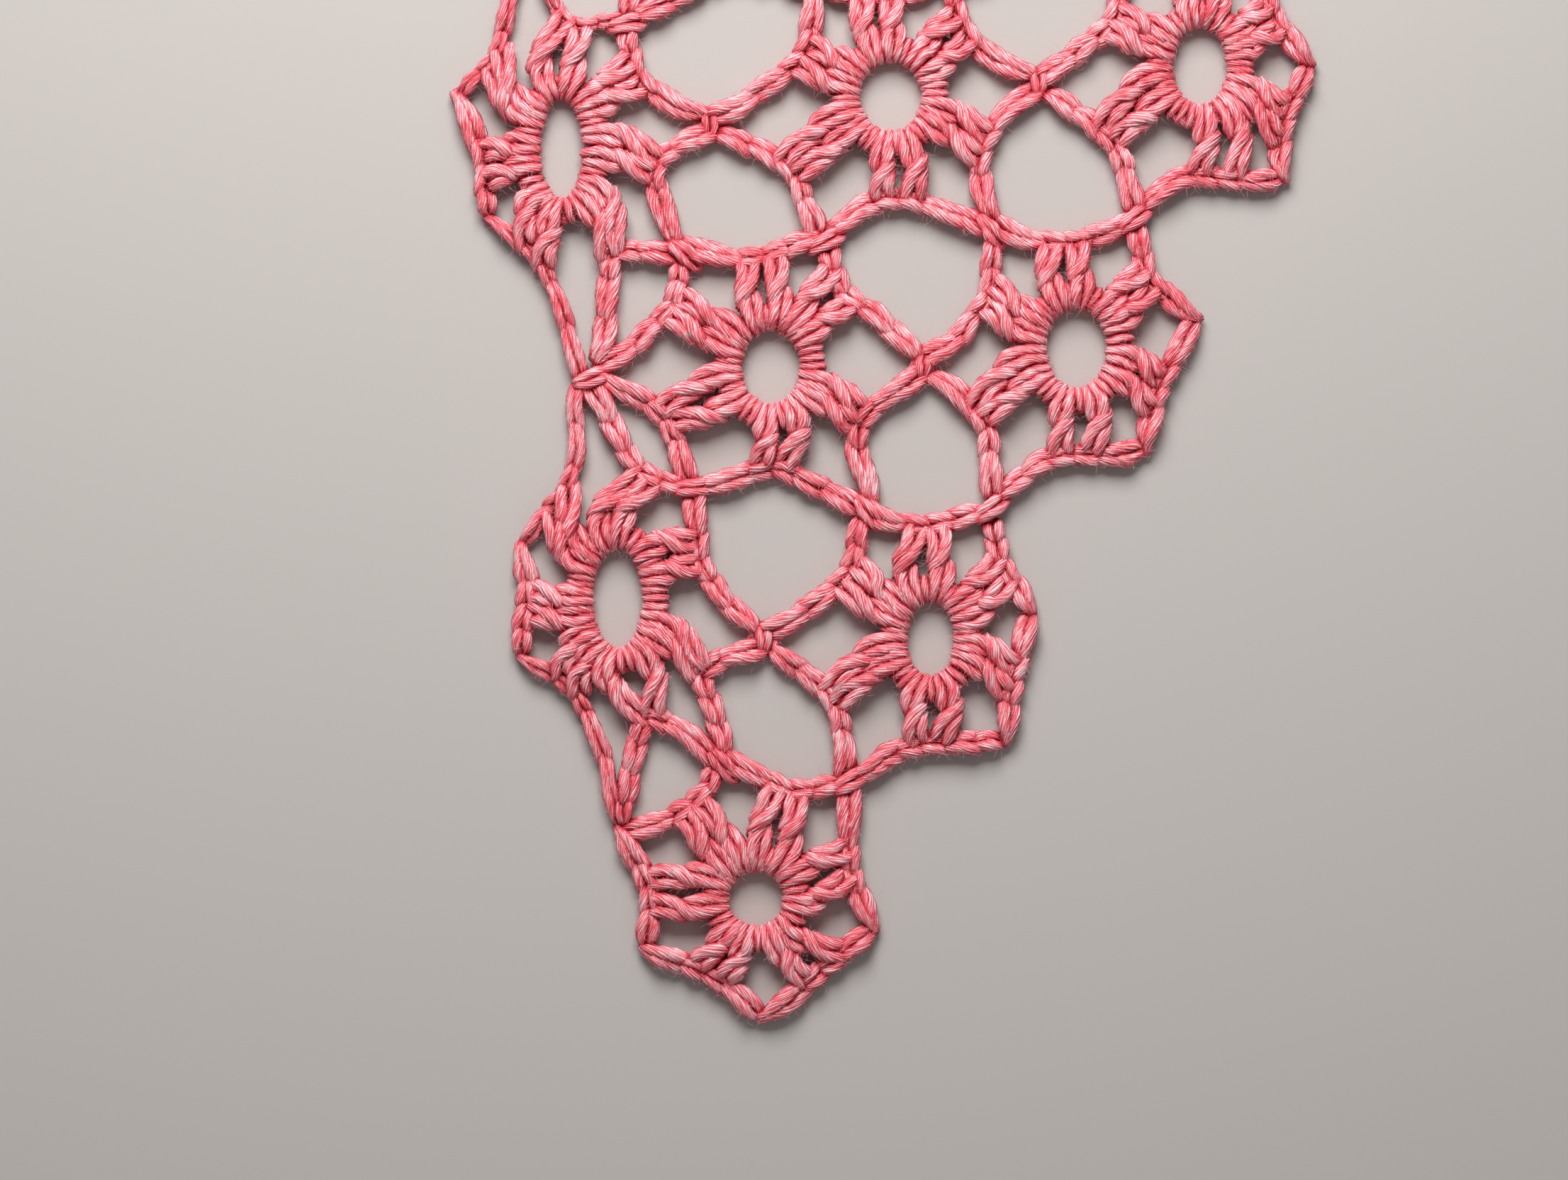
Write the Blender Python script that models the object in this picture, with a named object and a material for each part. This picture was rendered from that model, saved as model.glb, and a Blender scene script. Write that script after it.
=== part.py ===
"""The pointed lower end of a crocheted lace shawl, laid flat.

Eleven flower motifs, each a foundation ring, a round of paired double-crochet petals and an
outer chain, are joined at their chains' corners by slip-stitch knots. The design is drawn flat,
in millimetres from the lace's lowest point, and is then centred on the origin.
"""

import math

import bmesh
import bpy
from mathutils import Matrix, Vector

MM = 0.001

# How far the lace is blocked, which is how far it is stretched out flat: 1 is as it lies here.
BLOCKED_ACROSS = 1.0
BLOCKED_ALONG = 1.0

# Sizes of the stitches, in millimetres.
CHAIN_WIDTH = 2.6
CHAIN_THICKNESS = 2.6
RING_WIDTH = 1.6
RING_THICKNESS = 2.6
BAND_WIDTH = 1.4
PETAL_THICKNESS = 3.0
PETAL_ROOT_WIDTH = 3.4
PETAL_TOP_WIDTH = 5.0
STITCH_SHOULDER = 0.8
KNOT_DIAMETER = 3.4
KNOT_THICKNESS = 3.4
KNOT_ROUNDING = 0.8
CLEARANCE = 0.3

# The share of its width that a round stitch is flattened to on top, and the height of its sides.
TOP_SHARE = 0.55
SIDE_SHARE = 0.6
MITRE_LIMIT = 1.15
RING_COLUMNS = 20
KNOT_SIDES = 8
# The widest step between a petal round's columns, as an angle, and the share of the way to its
# neighbour that half a petal's root may take.
WIDEST_STEP = math.radians(16)
ROOM_SHARE = 0.46

# Where two or three motifs are joined, by row and place.
KNOTS = {
    "knot_1_2_left": (-19.5, 30.2),
    "knot_1_2_middle": (-5.5, 36.7),
    "knot_1_2_right": (12.2, 34.2),
    "knot_2_middle": (0.3, 54.5),
    "knot_2_3_edge": (-24.0, 91.0),
    "knot_2_3_left": (-9.8, 75.7),
    "knot_2_3_middle": (14.9, 72.2),
    "knot_2_3_right": (32.1, 72.6),
    "knot_3_middle": (22.7, 92.8),
    "knot_3_4_left": (-10.9, 108.5),
    "knot_3_4_middle": (8.9, 110.2),
    "knot_3_4_right": (32.1, 111.8),
    "knot_3_4_end": (52.3, 113.3),
    "knot_4_left": (-7.3, 126.8),
    "knot_4_right": (39.0, 132.6),
    "knot_4_5_edge": (-30.5, 162.0),
    "knot_4_5_left": (-19.0, 140.9),
    "knot_4_5_middle": (7.3, 147.0),
    "knot_4_5_inner": (26.7, 148.0),
    "knot_4_5_right": (50.5, 150.5),
    "knot_4_5_end": (70.5, 152.0),
    "knot_5_left": (15.5, 165.0),
    "knot_5_right": (60.5, 168.5),
}

# Each motif's ring, then its corners in turn, a knot or a free corner, and the tops of its
# petals: the first petal stands between the first two corners.
MOTIFS = {
    "tip": {
        "centre": (-0.8, 17.9),
        "hole": (7.8, 7.8),
        "corners": [(0.0, 1.2), (15.5, 13.5), "knot_1_2_right", "knot_1_2_middle",
                    "knot_1_2_left", (-16.2, 11.0)],
        "tops": [(8.5, 8.5), (11.5, 23.0), (3.0, 32.6), (-9.6, 30.0), (-15.2, 19.0), (-6.3, 8.0)],
    },
    "row2_left": {
        "centre": (-20.3, 60.1),
        "hole": (7.0, 14.0),
        "corners": ["knot_1_2_left", "knot_1_2_middle", "knot_2_middle", "knot_2_3_left",
                    "knot_2_3_edge", (-33.7, 67.0), (-33.8, 52.0)],
        "tops": [(-15.7, 44.0), (-8.3, 49.3), (-9.0, 66.5), (-17.0, 76.6), (-28.3, 73.8),
                 (-32.8, 59.3), (-25.3, 46.5)],
    },
    "row2_right": {
        "centre": (23.7, 54.4),
        "hole": (6.8, 10.5),
        "corners": ["knot_1_2_right", (34.7, 40.4), (37.9, 58.5), "knot_2_3_right",
                    "knot_2_3_middle", "knot_2_middle"],
        "tops": [(23.5, 39.8), (35.0, 49.0), (33.3, 64.3), (23.5, 70.5), (11.8, 62.8),
                 (10.6, 46.2)],
    },
    "row3_left": {
        "centre": (1.2, 92.6),
        "hole": (8.2, 10.4),
        "corners": ["knot_2_3_left", "knot_2_3_middle", "knot_3_middle", "knot_3_4_middle",
                    "knot_3_4_left", "knot_2_3_edge"],
        "tops": [(2.2, 78.8), (13.8, 86.0), (11.3, 103.2), (0.2, 107.8), (-12.3, 100.8),
                 (-13.0, 86.0)],
    },
    "row3_right": {
        "centre": (44.2, 95.3),
        "hole": (8.6, 11.2),
        "corners": ["knot_2_3_right", (54.3, 81.0), (60.8, 98.8), "knot_3_4_end",
                    "knot_3_4_right", "knot_3_middle"],
        "tops": [(43.8, 80.6), (56.0, 89.8), (54.3, 104.8), (42.8, 110.2), (31.9, 102.7),
                 (31.5, 86.6)],
    },
    "row4_left": {
        "centre": (-28.2, 123.3),
        "hole": (6.0, 14.0),
        "corners": ["knot_2_3_edge", "knot_3_4_left", "knot_4_left", "knot_4_5_left",
                    "knot_4_5_edge", (-43.0, 130.3), (-38.6, 112.8)],
        "tops": [(-21.0, 108.3), (-14.6, 121.3), (-17.8, 133.8), (-26.3, 140.3), (-36.7, 136.8),
                 (-39.4, 121.2), (-31.0, 109.2)],
    },
    "row4_middle": {
        "centre": (18.1, 130.7),
        "hole": (8.8, 9.8),
        "corners": ["knot_3_4_middle", "knot_3_4_right", "knot_4_right", "knot_4_5_inner",
                    "knot_4_5_middle", "knot_4_left"],
        "tops": [(19.2, 116.3), (31.3, 123.6), (28.8, 140.3), (16.5, 144.6), (5.2, 136.2),
                 (4.7, 121.3)],
    },
    "row4_right": {
        "centre": (61.6, 135.0),
        "hole": (7.8, 10.8),
        "corners": ["knot_3_4_end", (73.4, 119.5), (77.0, 135.3), "knot_4_5_end",
                    "knot_4_5_right", "knot_4_right"],
        "tops": [(64.0, 119.8), (74.0, 127.6), (72.3, 142.0), (61.5, 149.8), (49.2, 141.0),
                 (49.8, 125.6)],
    },
    "row5_left": {
        "centre": (-5.5, 162.5),
        "hole": (8.4, 10.0),
        "corners": ["knot_4_5_left", "knot_4_5_middle", "knot_5_left", (4.0, 181.0),
                    (-18.0, 180.0), "knot_4_5_edge"],
        "tops": [(-5.5, 148.3), (7.0, 156.0), (6.8, 172.0), (-6.5, 177.2), (-18.2, 170.8),
                 (-17.8, 155.0)],
    },
    "row5_middle": {
        "centre": (38.3, 166.5),
        "hole": (8.4, 9.8),
        "corners": ["knot_4_5_inner", "knot_4_5_right", "knot_5_right", (48.0, 184.5),
                    (26.5, 183.5), "knot_5_left"],
        "tops": [(38.6, 152.0), (51.2, 159.6), (50.8, 175.4), (37.5, 181.0), (25.2, 175.2),
                 (25.2, 158.8)],
    },
    "row5_right": {
        "centre": (81.5, 170.5),
        "hole": (8.2, 10.0),
        "corners": ["knot_4_5_end", (92.5, 154.0), (102.0, 171.5), (92.0, 187.5), (70.5, 187.0),
                    "knot_5_right"],
        "tops": [(81.5, 156.2), (94.6, 163.6), (94.0, 178.6), (81.0, 185.0), (68.6, 178.8),
                 (68.4, 162.6)],
    },
}


def blocked(point):
    """A point of the design where it lies once the lace is stretched out."""
    return Vector((point[0] * BLOCKED_ACROSS, point[1] * BLOCKED_ALONG))


def outward(direction):
    """The side that faces out of an outline which runs anticlockwise."""
    return Vector((direction.y, -direction.x))


def lifted(points, height):
    return [Vector((point.x, point.y, height)) * MM for point in points]


def yarn_material(name, colour, roughness):
    material = bpy.data.materials.new(name)
    material.use_nodes = True
    shader = material.node_tree.nodes["Principled BSDF"]
    shader.inputs["Base Color"].default_value = (*colour, 1.0)
    shader.inputs["Roughness"].default_value = roughness
    shader.inputs["Metallic"].default_value = 0.0
    material.diffuse_color = (*colour, 1.0)
    return material


def mesh_object(name, bm, material):
    """The finished bmesh as an object, with its faces turned outwards."""
    bmesh.ops.recalc_face_normals(bm, faces=bm.faces[:])
    mesh = bpy.data.meshes.new(name)
    bm.to_mesh(mesh)
    bm.free()
    mesh.materials.append(material)
    obj = bpy.data.objects.new(name, mesh)
    bpy.context.scene.collection.objects.link(obj)
    return obj


def closed_band(name, rails, material):
    """A ring-shaped solid from closed rails, one along each edge of its cross-section."""
    bm = bmesh.new()
    rows = [[bm.verts.new(point) for point in rail] for rail in rails]
    for row, above in zip(rows, rows[1:] + rows[:1]):
        for here in range(len(row)):
            after = (here + 1) % len(row)
            bm.faces.new((row[here], row[after], above[after], above[here]))
    return mesh_object(name, bm, material)


def stitch_rails(inner, outer, thickness):
    """The rails of a flat-bottomed, round-shouldered stitch between its two edges."""
    middle = [(a + b) / 2 for a, b in zip(inner, outer)]
    inner_top = [mid.lerp(edge, TOP_SHARE) for mid, edge in zip(middle, inner)]
    outer_top = [mid.lerp(edge, TOP_SHARE) for mid, edge in zip(middle, outer)]
    side = thickness * SIDE_SHARE
    return [
        lifted(inner, 0), lifted(outer, 0), lifted(outer, side),
        lifted(outer_top, thickness), lifted(inner_top, thickness), lifted(inner, side),
    ]


def offset_edges(path, half_width):
    """The inner and outer edge of a closed path, mitred where it turns."""
    inner, outer = [], []
    for here, point in enumerate(path):
        arriving = (point - path[here - 1]).normalized()
        leaving = (path[(here + 1) % len(path)] - point).normalized()
        normal = (outward(arriving) + outward(leaving)).normalized()
        mitre = 1 / max(normal.dot(outward(arriving)), 0.2)
        blunt = min(mitre, MITRE_LIMIT)
        turns_in = arriving.x * leaving.y - arriving.y * leaving.x > 0
        inner.append(point - normal * half_width * (mitre if turns_in else blunt))
        outer.append(point + normal * half_width * (blunt if turns_in else mitre))
    return inner, outer


class Motif:
    """One flower: its ring, petal tops and corners, in stretched-out millimetres."""

    def __init__(self, design):
        self.centre = blocked(design["centre"])
        self.half_hole = Vector(design["hole"]) / 2
        self.tops = [blocked(top) for top in design["tops"]]
        self.corners = [blocked(KNOTS.get(corner, corner)) for corner in design["corners"]]
        self.joined = [corner in KNOTS for corner in design["corners"]]
        self.count = len(self.tops)

    def ring_point(self, angle, offset):
        """The point that lies an offset outside the hole's edge, at an angle round the ring."""
        edge = Vector((self.half_hole.x * math.cos(angle), self.half_hole.y * math.sin(angle)))
        normal = Vector((self.half_hole.y * math.cos(angle), self.half_hole.x * math.sin(angle)))
        return self.centre + edge + normal.normalized() * offset

    def ring_speed(self, angle, offset):
        """How far the ring's edge runs for each radian, at an angle round the ring."""
        across, along = self.half_hole.x + offset, self.half_hole.y + offset
        return math.hypot(across * math.sin(angle), along * math.cos(angle))

    def petal_angles(self):
        """Where round the ring each petal stands, rising from petal to petal."""
        angles = []
        for top in self.tops:
            reach = top - self.centre
            angle = math.atan2(reach.y / self.half_hole.y, reach.x / self.half_hole.x)
            while angles and angle < angles[-1]:
                angle += math.tau
            angles.append(angle)
        return angles

    def side(self, petal):
        """The direction in which the chain passes over a petal's top."""
        return (self.corners[(petal + 1) % self.count] - self.corners[petal]).normalized()

    def chain_path(self):
        """The chain's middle line: over each petal's top, then out to the next corner."""
        half_top = PETAL_TOP_WIDTH / 2 + STITCH_SHOULDER
        pull = KNOT_DIAMETER / 2 + CLEARANCE + CHAIN_WIDTH / 2 * MITRE_LIMIT
        path = []
        for petal in range(self.count):
            corner, before = self.corners[petal], self.tops[petal - 1]
            top, side = self.tops[petal], self.side(petal)
            if self.joined[petal]:
                legs = (top - corner).normalized() + (before - corner).normalized()
                corner = corner + legs.normalized() * pull
            path += [corner, top - side * half_top, top + side * half_top]
        return path

    def petal_columns(self):
        """Each column of the petal round: its angle at the ring and its outer point."""
        root = RING_WIDTH + CLEARANCE
        angles = self.petal_angles()
        halves = []
        for petal, angle in enumerate(angles):
            before = angles[petal - 1] - (math.tau if petal == 0 else 0)
            after = angles[(petal + 1) % self.count] + (math.tau if petal == self.count - 1 else 0)
            room = min(angle - before, after - angle) * ROOM_SHARE
            halves.append(min(PETAL_ROOT_WIDTH / 2 / self.ring_speed(angle, root), room))
        columns = []
        for petal, angle in enumerate(angles):
            side, half = self.side(petal), halves[petal]
            top = self.tops[petal] - outward(side) * (CHAIN_WIDTH / 2 + CLEARANCE)
            for turn, reach in ((-1, None), (-1 / 3, -0.5), (1 / 3, 0.5), (1, None)):
                at = angle + turn * half
                edge = self.ring_point(at, root + BAND_WIDTH)
                columns.append((at, edge if reach is None else top + side * reach * PETAL_TOP_WIDTH))
            following = angles[(petal + 1) % self.count] - halves[(petal + 1) % self.count]
            following += math.tau if petal == self.count - 1 else 0
            gap = following - angle - half
            steps = max(math.ceil(gap / WIDEST_STEP), 2)
            for step in range(1, steps):
                at = angle + half + gap * step / steps
                columns.append((at, self.ring_point(at, root + BAND_WIDTH)))
        return columns


def make_ring(name, motif, material):
    turns = [math.tau * column / RING_COLUMNS for column in range(RING_COLUMNS)]
    inner = [motif.ring_point(turn, 0) for turn in turns]
    outer = [motif.ring_point(turn, RING_WIDTH) for turn in turns]
    return closed_band(name, stitch_rails(inner, outer, RING_THICKNESS), material)


def make_petals(name, motif, material):
    columns = motif.petal_columns()
    inner = [motif.ring_point(angle, RING_WIDTH + CLEARANCE) for angle, _ in columns]
    outer = [point for _, point in columns]
    rails = [
        lifted(inner, 0), lifted(outer, 0),
        lifted(outer, PETAL_THICKNESS), lifted(inner, PETAL_THICKNESS),
    ]
    return closed_band(name, rails, material)


def make_chain(name, motif, material):
    inner, outer = offset_edges(motif.chain_path(), CHAIN_WIDTH / 2)
    return closed_band(name, stitch_rails(inner, outer, CHAIN_THICKNESS), material)


def make_knot(name, place, material):
    """A slip-stitch knot: a short round button with its upper edge rounded off."""
    bm = bmesh.new()
    middle = lifted([place], KNOT_THICKNESS / 2)[0]
    radius = KNOT_DIAMETER / 2 * MM
    bmesh.ops.create_cone(
        bm, cap_ends=True, segments=KNOT_SIDES, radius1=radius, radius2=radius,
        depth=KNOT_THICKNESS * MM, matrix=Matrix.Translation(middle),
    )
    rim = [edge for edge in bm.edges if all(vert.co.z > middle.z for vert in edge.verts)]
    bmesh.ops.bevel(
        bm, geom=rim, offset=KNOT_ROUNDING * MM, segments=1, affect="EDGES", clamp_overlap=True
    )
    return mesh_object(name, bm, material)


def centre_on_origin(objects):
    """Moves the lace so that the middle of its box stands on the origin."""
    points = [vert.co for obj in objects for vert in obj.data.vertices]
    low = Vector([min(point[axis] for point in points) for axis in range(3)])
    high = Vector([max(point[axis] for point in points) for axis in range(3)])
    middle = (low + high) / 2
    for obj in objects:
        obj.data.transform(Matrix.Translation((-middle.x, -middle.y, -low.z)))


def main():
    for obj in list(bpy.data.objects):
        bpy.data.objects.remove(obj, do_unlink=True)
    bpy.context.scene.unit_settings.scale_length = 1.0
    ring_yarn = yarn_material("ring_yarn", (0.66, 0.115, 0.155), 0.85)
    petal_yarn = yarn_material("petal_yarn", (0.78, 0.15, 0.19), 0.85)
    chain_yarn = yarn_material("chain_yarn", (0.83, 0.17, 0.21), 0.85)
    knot_yarn = yarn_material("knot_yarn", (0.72, 0.13, 0.17), 0.85)
    objects = []
    for name, design in MOTIFS.items():
        motif = Motif(design)
        objects.append(make_ring(name + "_ring", motif, ring_yarn))
        objects.append(make_petals(name + "_petals", motif, petal_yarn))
        objects.append(make_chain(name + "_chain", motif, chain_yarn))
    for name, place in KNOTS.items():
        objects.append(make_knot(name, blocked(place), knot_yarn))
    centre_on_origin(objects)


main()
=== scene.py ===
"""The looks of a corner of a crocheted lace shawl: every stitch as real yarn, laid on a pale table."""

import math

import bpy
import numpy as np
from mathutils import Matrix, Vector
from mathutils.kdtree import KDTree


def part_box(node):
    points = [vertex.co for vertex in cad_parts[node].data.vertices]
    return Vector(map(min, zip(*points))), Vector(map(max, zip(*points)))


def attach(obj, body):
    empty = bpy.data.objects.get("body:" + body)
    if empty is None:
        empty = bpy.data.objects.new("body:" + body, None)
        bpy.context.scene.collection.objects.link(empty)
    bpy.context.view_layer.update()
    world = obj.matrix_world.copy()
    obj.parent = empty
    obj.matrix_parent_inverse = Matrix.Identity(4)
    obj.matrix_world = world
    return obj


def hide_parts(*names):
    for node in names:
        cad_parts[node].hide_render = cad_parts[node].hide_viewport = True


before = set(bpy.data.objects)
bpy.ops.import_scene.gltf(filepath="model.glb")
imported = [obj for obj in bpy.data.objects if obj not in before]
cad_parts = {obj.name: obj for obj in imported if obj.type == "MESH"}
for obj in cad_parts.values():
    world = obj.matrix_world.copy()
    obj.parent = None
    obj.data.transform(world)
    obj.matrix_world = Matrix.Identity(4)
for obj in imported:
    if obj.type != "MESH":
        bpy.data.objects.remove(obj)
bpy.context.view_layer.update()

MM = 0.001

# Routes in millimetres from the lace's lowest point, as in the part's own design. An outer chain
# has one run of points from each corner of its motif to the next, anticlockwise. Where a run
# starts away from the last one's end, the corner is joined to a neighbour there. Posts are the
# double-crochet stitches, two to a petal: where each leaves the ring, and where it ends. Taut runs
# are pulled thin along the lace's edge.
MOTIFS = {
    "tip": {
        "centre": (-0.8, 17.9),
        "hole": (7.8, 7.8),
        "tops": [(8.3, 7.8), (12.3, 21.8), (4.0, 33.0), (-9.8, 31.0), (-16.0, 19.5), (-8.0, 7.5)],
        "runs": [
            [(0.0, 1.2), (4.0, 4.0), (8.3, 7.8), (12.0, 10.6), (15.7, 13.8)],
            [(15.7, 13.8), (14.0, 17.0), (12.3, 21.8), (12.2, 27.0), (12.3, 32.2)],
            [(11.4, 34.0), (8.0, 33.3), (4.0, 33.0), (0.0, 34.9), (-3.2, 36.3), (-4.8, 37.2)],
            [(-6.6, 36.0), (-7.4, 33.8), (-9.8, 31.0), (-13.0, 29.0), (-16.5, 27.8), (-19.9, 27.2)],
            [(-19.9, 27.2), (-17.6, 23.4), (-16.0, 19.5), (-15.8, 15.5), (-16.4, 10.8)],
            [(-16.4, 10.8), (-12.5, 9.3), (-8.0, 7.5), (-4.0, 4.8), (0.0, 1.2)],
        ],
        "posts": [
            ((3.0, 14.0), (12.0, 11.0)), ((1.0, 12.5), (5.0, 6.5)),
            ((3.5, 21.0), (10.5, 25.5)), ((4.0, 17.0), (11.0, 20.5)),
            ((-1.0, 23.0), (0.5, 32.0)), ((3.0, 23.0), (5.5, 31.0)),
            ((-5.0, 22.0), (-10.5, 27.5)), ((-3.0, 24.0), (-7.0, 30.5)),
            ((-5.0, 17.0), (-14.0, 16.0)), ((-5.5, 20.5), (-14.0, 22.0)),
            ((-1.8, 14.0), (-3.0, 8.0)), ((-4.0, 14.5), (-9.0, 10.5)),
        ],
    },
    "row2_left": {
        "centre": (-20.3, 60.1),
        "hole": (7.0, 14.0),
        "taut": (4, 6),
        "tops": [(-16.4, 43.0), (-8.4, 49.2), (-8.8, 65.5), (-17.2, 78.0), (-27.8, 75.5),
                 (-33.0, 59.0), (-26.5, 47.0)],
        "runs": [
            [(-19.2, 31.4), (-19.0, 33.5), (-18.1, 38.0), (-16.4, 43.0), (-13.2, 42.4),
             (-10.0, 40.6), (-7.6, 38.4)],
            [(-5.2, 38.4), (-6.3, 42.5), (-7.6, 46.0), (-8.4, 49.2), (-5.4, 51.6), (-1.4, 52.8)],
            [(-1.2, 56.0), (-3.5, 58.0), (-6.6, 61.3), (-8.8, 65.5), (-9.1, 70.0), (-9.5, 73.8)],
            [(-10.8, 75.7), (-13.5, 76.3), (-17.2, 78.0), (-19.8, 82.0), (-22.3, 87.2),
             (-23.6, 89.0)],
            [(-25.7, 90.4), (-26.2, 86.0), (-26.0, 80.5), (-27.8, 75.5), (-31.0, 71.5),
             (-33.9, 67.4)],
            [(-33.9, 67.4), (-33.0, 63.5), (-33.0, 59.0), (-33.7, 55.0), (-33.7, 51.6)],
            [(-33.7, 51.6), (-30.0, 49.8), (-26.5, 47.0), (-24.3, 43.0), (-22.3, 38.0),
             (-21.6, 33.5), (-20.9, 31.2)],
        ],
        "posts": [
            ((-21.5, 52.0), (-18.0, 44.5)), ((-18.0, 53.0), (-14.2, 45.0)),
            ((-17.0, 54.0), (-10.0, 49.5)), ((-16.3, 57.0), (-9.5, 52.5)),
            ((-16.5, 63.0), (-10.0, 64.5)), ((-18.0, 66.8), (-10.5, 69.0)),
            ((-20.0, 69.0), (-15.8, 75.5)), ((-21.8, 69.0), (-18.8, 77.0)),
            ((-23.3, 68.0), (-25.5, 75.0)), ((-24.5, 65.8), (-29.5, 71.5)),
            ((-24.8, 60.6), (-32.0, 61.3)), ((-24.8, 57.0), (-32.0, 57.0)),
            ((-24.5, 54.5), (-28.0, 50.0)), ((-22.8, 52.2), (-24.4, 46.5)),
        ],
    },
    "row2_right": {
        "centre": (23.7, 54.4),
        "hole": (6.8, 10.5),
        "tops": [(22.5, 39.4), (35.2, 48.5), (33.6, 65.0), (23.5, 70.3), (12.5, 64.2),
                 (10.4, 44.8)],
        "runs": [
            [(13.2, 34.9), (15.0, 36.0), (18.0, 38.2), (22.5, 39.4), (28.0, 39.6), (34.3, 40.2)],
            [(34.3, 40.2), (34.7, 44.0), (35.2, 48.5), (36.6, 53.0), (37.8, 58.2)],
            [(37.8, 58.2), (35.8, 61.5), (33.6, 65.0), (32.7, 69.6)],
            [(31.2, 72.4), (28.5, 71.5), (23.5, 70.3), (19.5, 70.7), (16.8, 71.4), (15.4, 72.2)],
            [(13.8, 71.0), (13.5, 68.5), (12.5, 64.2), (9.0, 60.6), (5.0, 57.8), (1.8, 56.0)],
            [(1.8, 52.7), (5.0, 50.3), (8.5, 47.5), (10.4, 44.8), (11.2, 41.0), (11.6, 36.6)],
        ],
        "posts": [
            ((22.0, 47.5), (21.0, 41.5)), ((25.5, 47.5), (26.0, 41.5)),
            ((28.0, 50.5), (34.0, 46.5)), ((28.0, 54.0), (34.0, 51.5)),
            ((28.0, 57.0), (33.0, 61.5)), ((27.0, 60.5), (31.5, 66.0)),
            ((24.8, 61.0), (25.4, 68.6)), ((21.5, 61.0), (20.8, 68.8)),
            ((20.5, 60.0), (14.0, 65.0)), ((20.0, 57.0), (11.5, 60.5)),
            ((18.8, 54.0), (11.0, 49.0)), ((19.6, 51.0), (12.0, 45.8)),
        ],
    },
    "row3_left": {
        "centre": (1.2, 92.6),
        "hole": (8.2, 10.4),
        "tops": [(1.5, 78.6), (13.6, 84.5), (11.6, 103.0), (0.2, 108.0), (-12.4, 101.3),
                 (-13.5, 85.3)],
        "runs": [
            [(-8.6, 75.8), (-5.0, 76.8), (1.5, 78.6), (5.0, 77.2), (9.0, 75.2), (12.6, 73.5)],
            [(15.2, 74.0), (14.5, 76.8), (13.4, 80.5), (13.6, 84.5), (16.5, 87.6), (20.0, 89.9),
             (21.6, 91.2)],
            [(21.6, 94.4), (19.5, 96.5), (15.5, 100.0), (11.6, 103.0), (10.0, 106.5),
             (9.5, 108.2)],
            [(7.8, 110.8), (4.0, 109.5), (0.2, 108.0), (-4.0, 107.8), (-7.5, 108.5),
             (-10.0, 109.2)],
            [(-11.4, 107.0), (-11.7, 104.5), (-12.4, 101.3), (-15.3, 98.2), (-18.5, 95.2),
             (-21.5, 93.4)],
            [(-22.5, 91.0), (-19.5, 89.7), (-16.0, 87.6), (-13.5, 85.3), (-11.8, 81.5),
             (-10.6, 77.4)],
        ],
        "posts": [
            ((0.5, 86.0), (-1.0, 80.0)), ((4.5, 86.0), (5.0, 80.0)),
            ((6.0, 88.0), (12.6, 83.8)), ((6.2, 91.0), (12.0, 89.5)),
            ((6.0, 97.0), (12.0, 100.5)), ((4.5, 100.5), (8.8, 107.0)),
            ((2.5, 100.0), (2.6, 107.0)), ((-1.0, 99.6), (-2.5, 106.5)),
            ((-3.0, 98.0), (-10.6, 102.5)), ((-3.4, 95.0), (-12.0, 97.8)),
            ((-4.2, 92.0), (-13.0, 88.8)), ((-2.5, 88.0), (-10.5, 85.5)),
        ],
    },
    "row3_right": {
        "centre": (44.2, 95.3),
        "hole": (8.6, 11.2),
        "tops": [(43.8, 80.3), (56.0, 89.8), (54.5, 105.0), (43.0, 110.2), (31.7, 102.9),
                 (31.6, 84.0)],
        "runs": [
            [(33.8, 74.6), (36.0, 76.4), (39.5, 79.2), (43.8, 80.3), (49.0, 80.3), (54.0, 81.2)],
            [(54.0, 81.2), (54.8, 85.0), (56.0, 89.8), (58.3, 94.5), (61.0, 99.6)],
            [(61.0, 99.6), (57.7, 102.3), (54.5, 105.0), (53.4, 108.8), (52.7, 111.4)],
            [(51.4, 113.3), (48.0, 111.6), (43.0, 110.2), (37.0, 110.7), (33.6, 112.2)],
            [(32.2, 110.0), (32.1, 107.3), (31.7, 102.9), (29.5, 99.3), (26.8, 96.0),
             (24.0, 94.5)],
            [(24.0, 91.2), (27.0, 89.3), (29.6, 86.6), (31.6, 84.0), (32.0, 80.0), (32.4, 76.0)],
        ],
        "posts": [
            ((42.5, 88.6), (41.5, 82.0)), ((46.5, 88.6), (47.2, 82.0)),
            ((48.6, 91.0), (53.8, 86.2)), ((49.4, 94.5), (55.0, 92.0)),
            ((49.4, 98.5), (54.0, 102.3)), ((47.8, 101.5), (52.0, 107.3)),
            ((45.0, 102.6), (45.0, 108.8)), ((41.6, 102.0), (39.5, 108.8)),
            ((39.6, 100.0), (33.4, 104.6)), ((38.8, 97.0), (32.5, 100.0)),
            ((38.0, 94.5), (31.4, 89.0)), ((39.0, 90.6), (33.0, 86.0)),
        ],
    },
    "row4_left": {
        "centre": (-28.2, 123.3),
        "hole": (6.0, 14.0),
        "taut": (3, 4, 6),
        "tops": [(-20.8, 108.3), (-14.8, 121.0), (-17.4, 133.6), (-26.3, 140.9), (-37.4, 136.6),
                 (-39.2, 121.0), (-31.6, 107.6)],
        "runs": [
            [(-23.3, 93.8), (-22.0, 96.7), (-21.7, 101.5), (-21.2, 105.8), (-20.8, 108.3),
             (-17.5, 108.9), (-13.6, 108.6)],
            [(-12.2, 110.2), (-13.3, 113.5), (-14.6, 117.5), (-14.8, 121.0), (-12.0, 123.4),
             (-8.4, 125.2)],
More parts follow.
